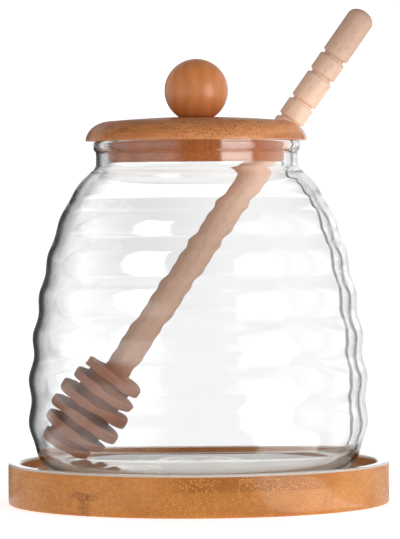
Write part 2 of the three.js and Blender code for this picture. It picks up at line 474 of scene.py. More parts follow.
    def _node_mark(self, recipe: Recipe) -> Value:
        """The mark where a strip had a node of the cane: a dark ridge across it, and its tail.

        Args:
            recipe: The material in the making.

        Returns:
            The mark's strength, from 0 to 1.
        """
        across, _, up = recipe.parts(recipe.place())
        wander = (recipe.noise(recipe.place(), Noise(260.0, 2.0)) - 0.5) * self.node_wander
        broken = recipe.noise(recipe.place(), Noise(900.0, 3.0)).rise(*self.node_breaks)
        side = (across - self.node_at[0] + wander).absolute()
        above = up - self.node_at[1]
        bar = 1.0 - (above + wander).absolute().rise(*self.node_bar)
        wide = 1.0 - side.rise(*self.node_wide)
        stem = (1.0 - side.rise(*self.node_stem)) * (1.0 - above.rise(*self.node_below))
        mark = (bar * wide + stem * self.node_stem_strength).least(1.0)
        return mark * broken.between(self.node_unbroken, 1.0)

    def _worn(self, recipe: Recipe, wood: bpy.types.NodeSocket) -> tuple[bpy.types.NodeSocket, Value]:
        """Painted highlight on a rim's top and painted light on the paler floor inside it, where the
        piece has a rim.

        Args:
            recipe: The material in the making.
            wood: The wood's colour before wear.

        Returns:
            The colour after the painted highlight and floor light, and how far the lacquer is that of
            level faces, from 0 to 1.
        """
        x, y, height = recipe.parts(recipe.place())
        facing_up = recipe.parts(recipe.facing())[2]
        level = facing_up.rise(*self.level_tilt)
        if self.rim_radius > 0.0:
            wall_from, wall_to = (self.rim_radius - reach for reach in self.rim_inside)
            top_from, top_to = (self.rim_height - reach for reach in self.rim_top)
            inside = 1.0 - (x * x + y * y).root().rise(wall_from, wall_to)
            near_top = height.rise(top_from, top_to)
            level = level.most(inside * self.inside_level)
            # painted highlight on the upward-facing top of the rim
            wood = recipe.blend(facing_up.rise(*self.rim_tilt) * near_top, wood, self.rim_wear)
            # painted light on the level floor inside the rim
            floor = facing_up.rise(*self.floor_tilt) * (1.0 - near_top) * inside
            wood = recipe.blend(floor, wood, self.floor_tone)
        return wood, level


@dataclass(frozen=True)
class TurnedWood:
    """Wood turned on a lathe, with its grain along the piece: growth rings and pores, and painted light
    and shade along it.
    """

    name: str
    pale: Colour
    deep: Colour
    pore: Colour
    ring_pitch: float
    pore_strength: float
    rough: float
    ring_centre: Pair = (11 * MM, -6 * MM)
    ring_strength: float = 0.3
    ring_wander: float = 2.2
    drift: Noise = Noise(90.0, 2.0, 0.12)
    cloud: Noise = Noise(70.0, 3.0, 0.3)
    cloud_strength: float = 0.55
    fine: Noise = Noise(1500.0, 2.0, 0.05)
    fine_strength: float = 0.35
    pore_scale: float = 1150.0
    pore_along: float = 0.22
    pore_width: Pair = (0.12, 0.34)
    # painted light and shade along the piece: no tint at the peak, full tint half a wave either side of
    # it and all below
    drift_tint: Colour | None = None
    drift_peak: float = 0.0
    drift_length: float = 1.0
    # painted shade over the end at the start of the piece
    stained_end: Colour | None = None
    stain_reach: Pair = (0.0, 0.0)
    stain_wander: float = 10 * MM
    pore_depth: float = 0.05 * MM
    pore_rough: float = 0.2
    fine_rough: float = 0.1
    lacquer: float = 0.0
    lacquer_rough: float = 0.3
    gloss: float = 0.3
    index: float = 1.45

    def material(self) -> bpy.types.Material:
        """The finish as a material.

        Returns:
            The material, which reads the grain attribute.
        """
        recipe = Recipe(self.name)
        x, y, along = recipe.parts(recipe.grown())
        kinds = (self.drift, self.cloud, self.fine)
        drift, cloud, fine = (
            recipe.noise(recipe.vector(x, y, along * kind.along), kind) for kind in kinds
        )
        out = ((x - self.ring_centre[0]) ** 2 + (y - self.ring_centre[1]) ** 2).root()
        rings = ((out / self.ring_pitch + drift * self.ring_wander) * TURN).sine() * 0.5 + 0.5
        tone = 1.0 - rings * self.ring_strength - (1.0 - cloud) * self.cloud_strength
        tone = (tone + (fine - 0.5) * self.fine_strength).most(0.0).least(1.0)
        flecks = recipe.dots(recipe.vector(x, y, along * self.pore_along), self.pore_scale, 1.0)
        pores = (1.0 - flecks.rise(*self.pore_width)) * self.pore_strength
        colour = recipe.blend(pores, recipe.blend(tone, self.deep, self.pale), self.pore)
        # painted light and shade along the piece
        if self.drift_tint is not None:
            steady = along.most(self.drift_peak - self.drift_length / 2)
            swing = ((steady - self.drift_peak) * (TURN / self.drift_length)).cosine()
            tinted = recipe.blend(1.0, colour, self.drift_tint, "MULTIPLY")
            colour = recipe.blend(0.5 - swing * 0.5, colour, tinted)
        # painted shade: darker towards the head
        if self.stained_end is not None:
            darkening = 1.0 - (along + (cloud - 0.5) * self.stain_wander).rise(*self.stain_reach)
            darkened = recipe.blend(1.0, colour, self.stained_end, "MULTIPLY")
            colour = recipe.blend(darkening, colour, darkened)
        recipe.surface(
            Base_Color=colour,
            Roughness=self.rough + pores * self.pore_rough + (fine - 0.5) * self.fine_rough,
            Coat_Weight=self.lacquer,
            Coat_Roughness=self.lacquer_rough,
            Specular_IOR_Level=self.gloss,
            IOR=self.index,
        )
        recipe.relief(fine * 0.5 + (1.0 - pores) * 0.5, self.pore_depth, strength=0.6)
        return recipe.material


@dataclass(frozen=True)
class ClearGlass:
    """Clear blown glass. Its rims get painted shade at a grazing look, in place of the dark that thick
    edges of clear glass show.
    """

    name: str
    clear: Colour
    edge: Colour
    edge_look: Pair
    edge_tilt: Pair = (0.45, 0.85)
    shadow: Colour = (0.955, 0.955, 0.955)
    smear: Noise = Noise(45.0, 3.0)
    smeared: Pair = (0.55, 0.9)
    smear_rough: float = 0.012
    smear_depth: float = 0.02 * MM
    index: float = 1.47

    def material(self) -> bpy.types.Material:
        """The finish as a material.

        Returns:
            The material. Light for what stands behind it passes straight through.
        """
        recipe = Recipe(self.name)
        look = recipe.number("ShaderNodeLayerWeight", {}, {"Blend": 0.5}, "Facing")
        tilt = recipe.parts(recipe.facing())[2].absolute()
        # painted shade: the base colour turns to the edge colour at a grazing look
        edge = look.rise(*self.edge_look) * (1.0 - tilt.rise(*self.edge_tilt))
        smear = recipe.noise(recipe.place(), self.smear)
        recipe.surface(
            Base_Color=recipe.blend(edge, self.clear, self.edge),
            Roughness=smear.rise(*self.smeared) * self.smear_rough,
            IOR=self.index,
            Transmission_Weight=1.0,
        )
        recipe.relief(smear, self.smear_depth, strength=0.5)
        ray = recipe.node("ShaderNodeLightPath").outputs
        share = Value(recipe, ray["Is Shadow Ray"]).most(Value(recipe, ray["Is Diffuse Ray"]))
        through = recipe.node("ShaderNodeBsdfTransparent", {}, {"Color": self.shadow})
        shown = {0: share, 1: recipe.shader.outputs[0], 2: through.outputs[0]}
        mixed = recipe.node("ShaderNodeMixShader", {}, shown)
        recipe.feed(recipe.output.inputs["Surface"], mixed.outputs[0])
        return recipe.material


@dataclass(frozen=True)
class TableTop:
    """A plain white table that glows a little, so that it joins the white behind it."""

    name: str = "table_white"
    colour: Colour = (0.8, 0.8, 0.8)
    glow: float = 0.72
    rough: float = 0.9
    gloss: float = 0.1

    def material(self) -> bpy.types.Material:
        """The finish as a material.

        Returns:
            The material, which is even all over.
        """
        recipe = Recipe(self.name)
        recipe.surface(
            Base_Color=self.colour,
            Roughness=self.rough,
            Specular_IOR_Level=self.gloss,
            Emission_Color=WHITE,
            Emission_Strength=self.glow,
        )
        return recipe.material


# Turning


@dataclass(frozen=True)
class Ripples:
    """Waves of a wall of revolution: heights are above the frame's origin, in metres."""

    depth: float = 0.0
    pitch: float = 1.0
    crest: float = 0.0
    tighten: float = 0.0
    fade_end: float = 1.0
    fade_run: float = 1.0

    def inputs(self) -> dict[str, float]:
        """The numbers by the names of the lathe's inputs."""
        return {"Ripple " + name.replace("_", " ").title(): size for name, size in asdict(self).items()}


@dataclass
class Outline:
    """Half of a turned piece's section, in metres, from one end on the axis to the other."""

    points: list[Pair] = field(default_factory=list)
    rippled: list[float] = field(default_factory=list)

    def to(self, radius: float, height: float, rippled: float = 0.0) -> "Outline":
        """Goes straight to a point.

        Args:
            radius: Distance from the axis.
            height: Height along the axis.
            rippled: The share of the ripples that this point takes.

        Returns:
            The outline itself.
        """
        self.points.append((radius, height))
        self.rippled.append(rippled)
        return self

    def line(self, radius: float, height: float, steps: int) -> None:
        """Goes straight to a point in even steps.

        Args:
            radius: Distance of the end from the axis.
            height: Height of the end.
            steps: How many steps.
        """
        start = self.points[-1]
        for i in range(1, steps + 1):
            share = i / steps
            self.to(start[0] + (radius - start[0]) * share, start[1] + (height - start[1]) * share)

    def arc(self, centre: Pair, radii: Pair | float, turn: Pair, steps: int) -> None:
        """Goes along an arc of a circle or an ellipse.

        Args:
            centre: Radius and height of the arc's centre.
            radii: The circle's radius, or the ellipse's half widths across and along the axis.
            turn: First and last angle in degrees, from straight out to straight up.
            steps: How many steps.
        """
        across, along = radii if isinstance(radii, tuple) else (radii, radii)
        for i in range(steps + 1):
            angle = math.radians(turn[0] + (turn[1] - turn[0]) * i / steps)
            self.to(centre[0] + across * math.cos(angle), centre[1] + along * math.sin(angle))

    def mesh(self, name: str) -> bpy.types.Mesh:
        """The outline as a row of points in the XZ plane.

        Args:
            name: The mesh's name.

        Returns:
            The mesh, with its share of the ripples as an attribute.
        """
        made = bpy.data.meshes.new(name)
        made.from_pydata([(radius, 0.0, height) for radius, height in self.points], [], [])
        made.attributes.new(RIPPLED, "FLOAT", "POINT").data.foreach_set("value", self.rippled)
        return made


class Lathe:
    """Geometry Nodes that turn an outline about Z, ripple its wall and give it its material."""

    MERGE = 0.002 * MM

    def __init__(self) -> None:
        """Builds the tree once for all pieces."""
        self.tree = bpy.data.node_groups.new("lathe", "GeometryNodeTree")
        self.inputs: dict[str, str] = {}
        numbers = dict.fromkeys(Ripples().inputs(), "Float")
        kinds = {"Outline": "Geometry", "Sides": "Int", **numbers, "Finish": "Material"}
        sockets = self.tree.interface
        for name, kind in kinds.items():
            socket = sockets.new_socket(name, in_out="INPUT", socket_type="NodeSocket" + kind)
            self.inputs[name] = socket.identifier
        sockets.new_socket("Turned", in_out="OUTPUT", socket_type="NodeSocketGeometry")
        self._build(Bench(self.tree))

    def _build(self, bench: Bench) -> None:
        """Adds the nodes: a grid takes its rows from the outline and is rolled up about Z.

        Args:
            bench: The bench of the tree.
        """
        given = bench.node("NodeGroupInput").outputs
        here = bench.node("GeometryNodeInputPosition").outputs[0]
        numbers = (Value(bench, given[name]) for name in Ripples().inputs())
        depth, pitch, crest, tighten, fade_end, fade_run = numbers
        source = {"Geometry": given["Outline"]}
        count = bench.number("GeometryNodeAttributeDomainSize", {}, source)
        columns = Value(bench, given["Sides"]) + 1.0
        size = {"Size X": 1.0, "Size Y": 1.0, "Vertices X": columns, "Vertices Y": count}
        grid = bench.node("GeometryNodeMeshGrid", {}, size)
        across, up, _ = bench.parts(here)
        row = {"Index": ((up + 0.5) * (count - 1.0) + 0.5).floor()}
        named = {"data_type": "FLOAT"}
        share = bench.node("GeometryNodeInputNamedAttribute", named, {"Name": RIPPLED}).outputs[0]
        read = []
        for kind, value in (("FLOAT_VECTOR", here), ("FLOAT", share)):
            settings = {"data_type": kind, "domain": "POINT"}
            sockets = {**source, "Value": value, **row}
            read.append(bench.node("GeometryNodeSampleIndex", settings, sockets).outputs[0])
        radius, _, height = bench.parts(read[0])
        run = height - crest
        waves = run / pitch + tighten * run * run
        fade = ((fade_end - height) / fade_run).least(1.0)
        radius = radius + depth * fade * (waves * TURN).cosine() * Value(bench, read[1])
        angle = (across + 0.5) * TURN
        place = bench.vector(radius * angle.cosine(), radius * angle.sine(), height)
        kept = {"data_type": "FLOAT_VECTOR", "domain": "POINT"}
        shape = grid.outputs["Mesh"]
        for kind, settings, sockets in (
            ("SetPosition", {}, {"Position": place}),
            ("MergeByDistance", {}, {"Distance": self.MERGE}),
            ("StoreNamedAttribute", kept, {"Name": GRAIN, "Value": here}),
            ("SetShadeSmooth", {}, {}),
            ("RealizeInstances", {}, {}),
            ("SetMaterial", {}, {"Material": given["Finish"]}),
        ):
            sockets = {"Geometry": shape, **sockets}
            shape = bench.node("GeometryNode" + kind, settings, sockets).outputs[0]
        bench.node("NodeGroupOutput", {}, {"Turned": shape})

    def turn(
        self, name: str, outline: Outline, sides: int, finish: bpy.types.Material, ripples: Ripples
    ) -> bpy.types.Object:
        """Turns an outline into a plain mesh.

        Args:
            name: The new piece's name.
            outline: Its half section.
            sides: Steps round the axis.
            finish: Its material.
            ripples: The waves of its wall.

        Returns:
            The turned piece, with no modifier left on it.
        """
        blank = new_object(name + "_outline", outline.mesh(name + "_outline"))
        modifier = blank.modifiers.new("lathe", "NODES")
        modifier.node_group = self.tree
        for key, value in {"Sides": sides, **ripples.inputs(), "Finish": finish}.items():
            modifier[self.inputs[key]] = value
        made = plain_copy(blank, name)
        bpy.data.objects.remove(blank)
        face_outwards(made.data)
        return made


def new_object(name: str, data: bpy.types.ID) -> bpy.types.Object:
    """A new object in the scene.

    Args:
        name: Its name.
        data: Its mesh or its camera.

    Returns:
        The object.
    """
    made = bpy.data.objects.new(name, data)
    bpy.context.scene.collection.objects.link(made)
    return made


def new_mesh(name: str, work: bmesh.types.BMesh) -> bpy.types.Mesh:
    """A new mesh from one in the making.

    Args:
        name: Its name.
        work: The mesh in the making, which is freed.

    Returns:
        The mesh.
    """
    made = bpy.data.meshes.new(name)
    work.to_mesh(made)
    work.free()
    return made


def plain_copy(source: bpy.types.Object, name: str) -> bpy.types.Object:
    """A new object with the source's evaluated mesh and no modifiers.

    Args:
        source: The object to copy.
        name: The new object's name.

    Returns:
        The new object, in the scene.
    """
    graph = bpy.context.evaluated_depsgraph_get()
    mesh = bpy.data.meshes.new_from_object(source.evaluated_get(graph), depsgraph=graph)
    mesh.name = name
    return new_object(name, mesh)


def face_outwards(mesh: bpy.types.Mesh) -> None:
    """Turns a closed mesh's faces outwards.

    Args:
        mesh: The mesh, which is changed.
    """
    work = bmesh.new()
    work.from_mesh(mesh)
    bmesh.ops.recalc_face_normals(work, faces=work.faces)
    work.to_mesh(mesh)
    work.free()


# The pieces


@dataclass
class Turned:
    """A piece turned on the lathe, in place of a node of the frame.

    Each kind of piece says which node it replaces, and gives its own outline and finish.
    """

    node: ClassVar[Piece]
    name: ClassVar[str]
    slot: ClassVar[str]
    edge: ClassVar[Edge] = Edge.CRISP
    sides: ClassVar[int]
    lathe: Lathe
    low: Vector = field(init=False)
    high: Vector = field(init=False)

    def __post_init__(self) -> None:
        """Reads the lowest and highest corner of the frame's piece."""
        self.low, self.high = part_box(self.node.value)

    def outline(self) -> Outline:
        """The piece's half section."""
        raise NotImplementedError

    def finish(self) -> Bamboo | TurnedWood | ClearGlass:
        """The piece's finish."""
        raise NotImplementedError

    def ripples(self) -> Ripples:
        """The waves of the piece's wall: none, unless the piece has some."""
        return Ripples()

    def worked(self, made: bpy.types.Object) -> bpy.types.Object:
        """The piece after what is done to it off the lathe: nothing, unless the piece says so."""
        return made

    def build(self) -> bpy.types.Object:
        """Turns the piece, dresses it and gives it its place in the frame.

        Returns:
            The finished piece.
        """
        finish = self.finish().material()
        made = self.lathe.turn(self.name, self.outline(), self.sides, finish, self.ripples())
        made = self.worked(made)
        made.data.polygons.foreach_set("use_smooth", [True] * len(made.data.polygons))
        if self.edge is not Edge.SOFT:
            made.data.set_sharp_from_angle(angle=math.radians(self.edge.value))
        made.data.update()
        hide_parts(self.node.value)
        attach(made, BODY)
        return made


@dataclass
class Tray(Turned):
    """Round bamboo tray, hollowed out of two boards glued flat on each other."""

    node = Piece.TRAY
    name = "tray_board"
    slot = "tray_bamboo"
    sides = 320
    plate: float = 9.5 * MM
    glue_line: float = 7.8 * MM
    ring_width: float = 4 * MM
    ease: float = 0.6 * MM
    top_ease: float = 1.0 * MM

    def outline(self) -> Outline:
        """The tray's half section.

        Returns:
            The outline, from the middle of the underside to the middle of the recess.
        """
        radius, low, top = self.high.x, self.low.z, self.high.z
        inner = radius - self.ring_width
        top_centre = top - self.top_ease
        made = Outline().to(0.0, low)
        made.line(radius - self.ease, low, 12)
        made.arc((radius - self.ease, low + self.ease), self.ease, (-90, 0), 5)
        made.line(radius, top_centre, 9)
        made.arc((radius - self.top_ease, top_centre), self.top_ease, (0, 90), 8)
        made.arc((inner + self.top_ease, top_centre), self.top_ease, (90, 180), 8)
        made.line(inner, self.plate, 3)
        made.line(0.0, self.plate, 12)
        return made

    def finish(self) -> Bamboo:
        """The tray's lacquered bamboo, with a painted highlight on its rim's top and painted light on
        its floor.
        """
        return Bamboo(
            name=self.slot,
            pale=(0.7, 0.29, 0.07),
            deep=(0.46, 0.15, 0.018),
            thread=(0.22, 0.062, 0.007),
            end_grain=(0.24, 0.068, 0.005),
            fibre_turn=-86.0,
            layer=self.glue_line,
            thread_pitch=0.62 * MM,
            thread_strength=0.28,
            thread_width=(0.2, 0.55),
            end_high=0.65,
            node_at=(-34.4 * MM, 6.3 * MM),
            node_strength=0.7,
            rim_radius=self.high.x,
            rim_height=self.high.z,
            # painted highlight on the rim's top
            rim_wear=(0.92, 0.84, 0.76),
            lacquer=0.25,
            level_lacquer=1.0,
            lacquer_rough=0.04,
        )


@dataclass
class Jar(Turned):
    """Blown glass jar: pushed-up base, rippled wall that swells and narrows, neck and rolled lip.

    Heights are above the jar's foot, but for gather_heights, which are above the frame's origin.
    """

    node = Piece.JAR
    name = "jar_glass"
    slot = "jar_glass"
    edge = Edge.SOFT
    sides = 216
    wall: float = 1.8 * MM
    floor: float = 2.3 * MM
    neck_wall: float = 2.0 * MM
    bore_low: float = 97.25 * MM
    root_swell: float = 0.22 * MM
    root_run: float = 4 * MM
    root_steps: int = 12
    foot_radius: float = 42.3 * MM
    foot_ring: float = 4.5 * MM
    push_up: float = 0.8 * MM
    push_steps: int = 12
    floor_ring: float = 0.06 * MM
    floor_ring_pitch: float = 7 * MM
    floor_ring_reach: float = 12 * MM
    floor_steps: int = 72
    heel: float = 9 * MM
    heel_end: float = -18.0
    heel_taper: float = 0.0071 / MM
    widest_radius: float = 53.2 * MM
    widest_height: float = 21.6 * MM
    shoulder_rise: float = 79 * MM
    shoulder_round: float = 1.555
    shoulder_full: float = 4.7
    shoulder_top: float = 94.7 * MM
    neck_radius: float = 31.8 * MM
    neck_height: float = 96.9 * MM
    neck_flare: float = 0.35 * MM
    neck_flare_drop: float = 0.9 * MM
    lip_height: float = 100.7 * MM
    lip_radius: float = 32.5 * MM
    lip_round: float = 0.9 * MM
    ripple_depth: float = 0.55 * MM
    ripple_pitch: float = 14.85 * MM
    ripple_crest: float = 15.5 * MM
    ripple_fade_end: float = 115.5 * MM
    ripple_fade_run: float = 80 * MM
    ripple_tighten: float = 150.0
    gather: Pair = (0.031 * MM, 0.048 * MM)
    gather_phase: Pair = (0.343, 0.423)
    gather_heights: Pair = (60 * MM, 85 * MM)
    wall_steps: int = 140

    def dome_radius(self, height: float) -> float:
        """Outer radius of the wall without its ripples.

        Args:
            height: Height above the jar's foot.

        Returns:
            The radius.
        """
        above = max(height - self.widest_height, 0.0) / self.shoulder_rise
        below = max(self.widest_height - height, 0.0)
        swell = (1.0 - above**self.shoulder_round) ** (1.0 / self.shoulder_full)
        return self.widest_radius * swell - self.heel_taper * below * below

    def wall_point(self, height: float, inset: float) -> Pair:
        """A point of the wall, set in from the outside along its normal.

        Args:
            height: Height above the jar's foot, on the outside.
            inset: How far in.

        Returns:
            Its radius, and its height above the frame's origin.
        """
        step = 0.1 * MM
        slope = (self.dome_radius(height + step) - self.dome_radius(height - step)) / (2 * step)
        unit = math.hypot(1.0, slope)
        return self.dome_radius(height) - inset / unit, self.low.z + height + inset * slope / unit

    def gathered(self, height: float) -> float:
        """How much thicker blowing left the wall: it swells over each ripple, then falls off fast.

        Args:
            height: Height above the frame's origin.

        Returns:
            The extra thickness, which is less than nothing between the swells.
        """
        low, high = self.gather_heights
        share = min(max((height - low) / (high - low), 0.0), 1.0)
        size, phase = (a + (b - a) * share for a, b in (self.gather, self.gather_phase))
        run = height - self.low.z - self.ripple_crest
        turn = TURN * (run / self.ripple_pitch + self.ripple_tighten * run * run - phase)
        return -size * (math.sin(turn) + 0.5 * math.sin(2 * turn) + 0.3 * math.sin(3 * turn))

    def outer_run(self, outline: Outline) -> None:
        """Adds the wall's outside to the outline, upwards.

        Args:
            outline: The outline, which grows.
        """
        for i in range(self.wall_steps + 1):
            height = self.heel + (self.shoulder_top - self.heel) * i / self.wall_steps
            outline.to(*self.wall_point(height, 0.0), 1.0)

    def inner_run(self, outline: Outline) -> None:
        """Adds the neck's ease and the wall's inside to the outline, downwards.

        Args:
            outline: The outline, which grows and ends at the neck's bore.
        """
        bore, ease_top = outline.points[-1]
        face = []
        for i in range(self.wall_steps + 1):
            below = (self.shoulder_top - self.heel) * i / self.wall_steps
            swell = self.root_swell * math.exp(-((below / self.root_run) ** 2))
            radius, height = self.wall_point(self.shoulder_top - below, self.wall + swell)
            face.append((radius - self.gathered(height), height))
        radius, height = face[0]
        for i in range(1, self.root_steps):
            share = i / self.root_steps
            eased = share**2
            outline.to(bore + (radius - bore) * eased, ease_top + (height - ease_top) * share, eased)
        for radius, height in face:
            outline.to(radius, height, 1.0)

    def underside(self, outline: Outline) -> None:
        """Adds the base's underside to the outline, from the axis to the foot ring.

        Args:
            outline: The outline, which grows.
        """
        reach = self.foot_radius - self.foot_ring
        for i in range(self.push_steps + 1):
            rise = self.push_up * (1.0 + math.cos(math.pi * i / self.push_steps)) / 2
            outline.to(reach * i / self.push_steps, self.low.z + rise)

    def floor_run(self, outline: Outline) -> None:
        """Adds the base's inside to the outline, from the heel to the axis: flat, with faint rings.

        Args:
            outline: The outline, which grows.
        """
        for i in range(self.floor_steps + 1):
            radius = (self.foot_radius - self.foot_ring) * (1.0 - i / self.floor_steps)
            size = self.floor_ring * math.exp(-radius / self.floor_ring_reach)
            wave = size * math.cos(TURN * radius / self.floor_ring_pitch)
            outline.to(radius, self.low.z + self.floor + wave)

    def outline(self) -> Outline:
        """The jar's half section.

        Returns:
            The outline, from the underside's middle round the lip to the floor's middle.
        """
        made = Outline()
        foot = self.low.z
        bore = self.neck_radius - self.neck_wall
        heel_in = self.heel - self.wall
        lip = self.high.z - self.lip_round
        flare = foot + self.neck_height - self.neck_flare_drop
        self.underside(made)
        made.arc((self.foot_radius, foot + self.heel), self.heel, (-90, self.heel_end), 16)
        self.outer_run(made)
        made.line(self.neck_radius + self.neck_flare, flare, 3)
        made.line(self.neck_radius, foot + self.neck_height, 3)
        made.line(self.neck_radius, foot + self.lip_height, 6)
        made.line(self.lip_radius, foot + self.lip_height + self.lip_round, 4)
        made.arc((self.lip_radius - self.lip_round, lip), self.lip_round, (0, 90), 8)
        made.arc((bore + self.lip_round, lip), self.lip_round, (90, 180), 8)
        made.line(bore, foot + self.bore_low, 10)
        self.inner_run(made)
        heel_centre = (self.foot_radius, foot + self.floor + heel_in)
        made.arc(heel_centre, heel_in, (self.heel_end, -90), 14)
        self.floor_run(made)
        return made

    def ripples(self) -> Ripples:
        """The waves of the jar's wall."""
        return Ripples(
            depth=self.ripple_depth,
            pitch=self.ripple_pitch,
            crest=self.low.z + self.ripple_crest,
            tighten=self.ripple_tighten,
            fade_end=self.low.z + self.ripple_fade_end,
            fade_run=self.ripple_fade_run,
        )

    def finish(self) -> ClearGlass:
        """The jar's clear glass."""
        return ClearGlass(
            name=self.slot,
            clear=(0.995, 0.997, 0.997),
            # painted shade on the jar's edges at a grazing look
            edge=(0.42, 0.43, 0.43),
            edge_look=(0.62, 0.9),
        )


@dataclass
class Lid(Turned):
    """Bamboo lid: a domed disc with a plug below, and a slot for the dipper, open at the edge."""

    node = Piece.LID
    name = "lid_bamboo"
    slot = "lid_bamboo"
    sides = 256
    edge_run: float = 8 * MM
    crown: float = 1.2 * MM
    crown_steps: int = 16
    plug_radius: float = 27.8 * MM
    plug_depth: float = 6.7 * MM
    plug_ease: float = 0.5 * MM
    plug_tint_gap: float = 0.1 * MM
    lower_ease: float = 0.35 * MM
    slot_width: float = 9.8 * MM
    slot_inner_end: float = 14.2 * MM
    slot_turn: float = -5.0
    slot_steps: int = 28

    def outline(self) -> Outline:
        """The lid's half section.

        Returns:
            The outline, from the plug's underside to the top of the crown.
        """
        low, radius = self.low.z, self.high.y
        underside = low + self.plug_depth
        shoulder = self.high.z - self.crown
        edge_centre = radius - self.edge_run
        made = Outline().to(0.0, low)
        made.line(self.plug_radius - self.plug_ease, low, 8)
        made.line(self.plug_radius, low + self.plug_ease, 2)
        made.line(self.plug_radius, underside, 4)
        made.line(radius - self.lower_ease, underside, 4)
        lower = (radius - self.lower_ease, underside + self.lower_ease)
        made.arc(lower, self.lower_ease, (-90, -20), 4)
        made.arc((edge_centre, underside), (self.edge_run, shoulder - underside), (6, 90), 22)
        for i in range(1, self.crown_steps + 1):
            left = 1.0 - i / self.crown_steps
            made.to(edge_centre * left, shoulder + self.crown * (1.0 - left**2))
        return made

    def slot_cutter(self) -> bpy.types.Object:
        """A U-shaped bar for the slot.

        Returns:
            The cutter, which runs out past the lid's edge, top and underside.
        """
        half = self.slot_width / 2
        centre = self.slot_inner_end + half
        beyond = self.high.y + half
        ring = [(beyond, -half), (beyond, half)]
        for i in range(self.slot_steps + 1):
            angle = math.radians(90 + 180 * i / self.slot_steps)
            ring.append((centre + half * math.cos(angle), half * math.sin(angle)))
        work = bmesh.new()
        face = work.faces.new([work.verts.new((x, y, self.low.z - half)) for x, y in ring])
        grown = bmesh.ops.extrude_face_region(work, geom=[face])
        tops = [part for part in grown["geom"] if isinstance(part, bmesh.types.BMVert)]
        bmesh.ops.translate(work, verts=tops, vec=(0.0, 0.0, self.high.z - self.low.z + 2 * half))
        bmesh.ops.recalc_face_normals(work, faces=work.faces)
        mesh = new_mesh("slot_cutter", work)
        mesh.transform(Matrix.Rotation(math.radians(self.slot_turn), 4, "Z"))
        return new_object("slot_cutter", mesh)

    def worked(self, made: bpy.types.Object) -> bpy.types.Object:
        """The lid with its slot.

        Args:
            made: The disc as it was turned, which is used up.

        Returns:
            The slotted lid.
        """
        made.name = made.data.name = "lid_disc"
        cutter = self.slot_cutter()
        cut = made.modifiers.new("slot", "BOOLEAN")
        cut.operation = "DIFFERENCE"
        cut.solver = "EXACT"
        cut.object = cutter
        slotted = plain_copy(made, self.name)
        bpy.data.objects.remove(made)
        bpy.data.objects.remove(cutter)
        return slotted

    def finish(self) -> Bamboo:
        """The lid's lacquered bamboo, with a plug of another board, darker for its own tone and for
        painted shade under the lid's overhang.
        """
        return Bamboo(
            name=self.slot,
            pale=(0.75, 0.315, 0.128),
            deep=(0.44, 0.152, 0.04),
            thread=(0.2, 0.06, 0.013),
            end_grain=(0.36, 0.115, 0.02),
            fibre_turn=-40.0,
            layer=self.low.z + self.plug_depth - self.plug_tint_gap,
            # the plug's own tone and painted shade under the lid's overhang
            lower_tint=(0.74, 0.54, 0.28),
            # painted shade on the lid's left side, painted light on its right
            drift=14.0,
            strip_width=24 * MM,
            thread_pitch=0.6 * MM,
            thread_strength=0.58,
            level_lacquer=0.0,
            gloss=0.12,
        )


@dataclass
class Knob(Turned):
    """Wooden ball with a flat on its underside."""

    node = Piece.KNOB
    name = "knob_ball"
    slot = "knob_wood"
    sides = 128
    radius: float = 10 * MM
    flat_radius: float = 5.6 * MM

    def outline(self) -> Outline:
        """The knob's half section.

        Returns:
            The outline, from the middle of the flat to the top.
        """
        start = -math.degrees(math.acos(self.flat_radius / self.radius))
        made = Outline().to(0.0, self.low.z)
        made.arc((0.0, self.high.z - self.radius), self.radius, (start, 90), 72)
        made.points[-1] = (0.0, self.high.z)
        return made

    def finish(self) -> TurnedWood:
        """The knob's satin lacquered wood."""
        return TurnedWood(
            name=self.slot,
            pale=(0.74, 0.265, 0.088),
            deep=(0.5, 0.155, 0.042),
            pore=(0.29, 0.078, 0.018),
            ring_pitch=4.2 * MM,
            pore_strength=0.16,
            rough=0.36,
            lacquer=0.45,
        )


